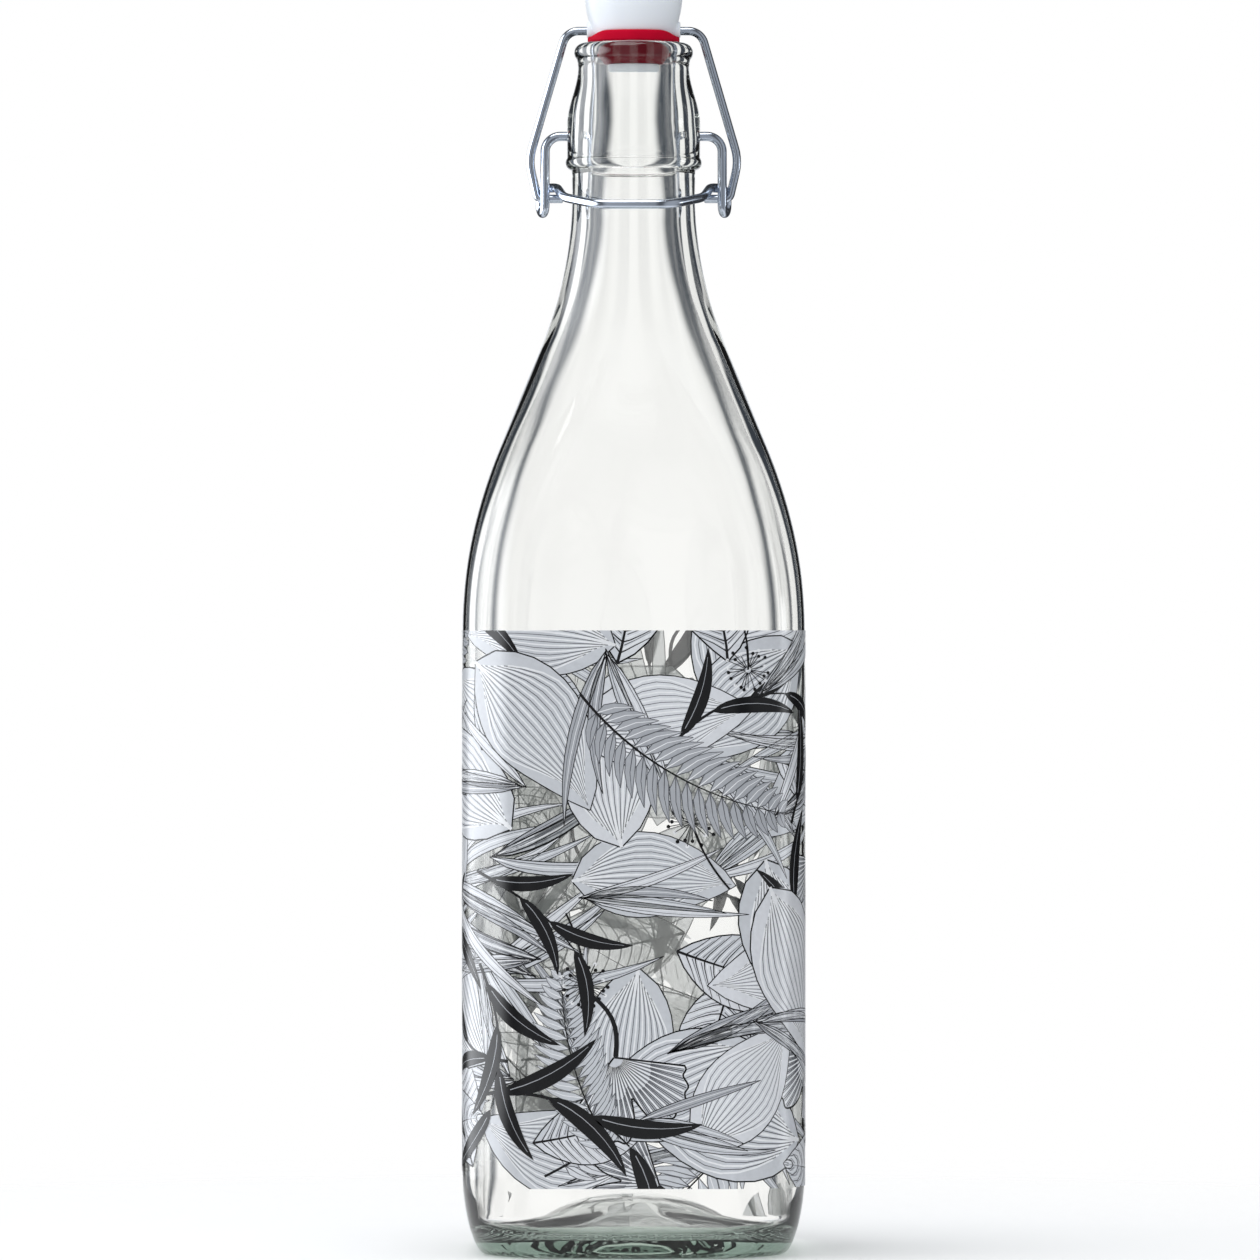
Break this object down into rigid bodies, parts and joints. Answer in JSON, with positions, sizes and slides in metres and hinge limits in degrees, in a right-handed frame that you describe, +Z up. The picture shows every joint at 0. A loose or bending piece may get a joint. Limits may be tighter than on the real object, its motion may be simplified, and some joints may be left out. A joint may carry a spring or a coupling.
{
  "type": "swing top bottle",
  "caption": "Square clear glass bottle with a round neck, a printed band and a wire swing closure that presses a stopper and red gasket onto the mouth.",
  "frame": {"origin": "centre of the base, on the plane that the bottle stands on", "axes": "+Z up along the bottle's axis, -Y the front with the handle of the lever, +X to the right seen from the front"},
  "size_m": [0.0842, 0.0842, 0.3175],
  "materials": {
    "glass": "clear moulded soda-lime glass, smooth, slightly grey-green in its thick base",
    "print": "screen-printed ceramic ink in grey, white and black, satin",
    "stopper": "cool white, moulded, soft gloss",
    "gasket": "red moulded rubber, satin",
    "bail_steel": "bright drawn steel wire",
    "lever_steel": "bright drawn steel wire"
  },
  "bodies": {
    "bottle": {"bottle": "glass", "print_band": "print"},
    "lever": {"lever_wire": "lever_steel"},
    "bail": {"bail_wire": "bail_steel"},
    "stopper": {"stopper": "stopper", "gasket": "gasket"}
  },
  "joints": [
    {"name": "lever_swing", "type": "hinge", "parent": "bottle", "child": "lever", "pos_m": [0, 0, 0.2759], "axis": [-1, 0, 0], "range_deg": [0, 94]},
    {"name": "bail_swing", "type": "hinge", "parent": "lever", "child": "bail", "pos_m": [0, 0, 0.2604], "axis": [-1, 0, 0], "range_deg": [-64, 0]},
    {"name": "stopper_tilt", "type": "hinge", "parent": "bail", "child": "stopper", "pos_m": [0, 0, 0.302], "axis": [-1, 0, 0], "range_deg": [-33, 0]}
  ],
  "couplings": [
    {"joint": "bail_swing", "follows": "lever_swing", "ratio": -0.665},
    {"joint": "stopper_tilt", "follows": "lever_swing", "ratio": -0.335}
  ]
}
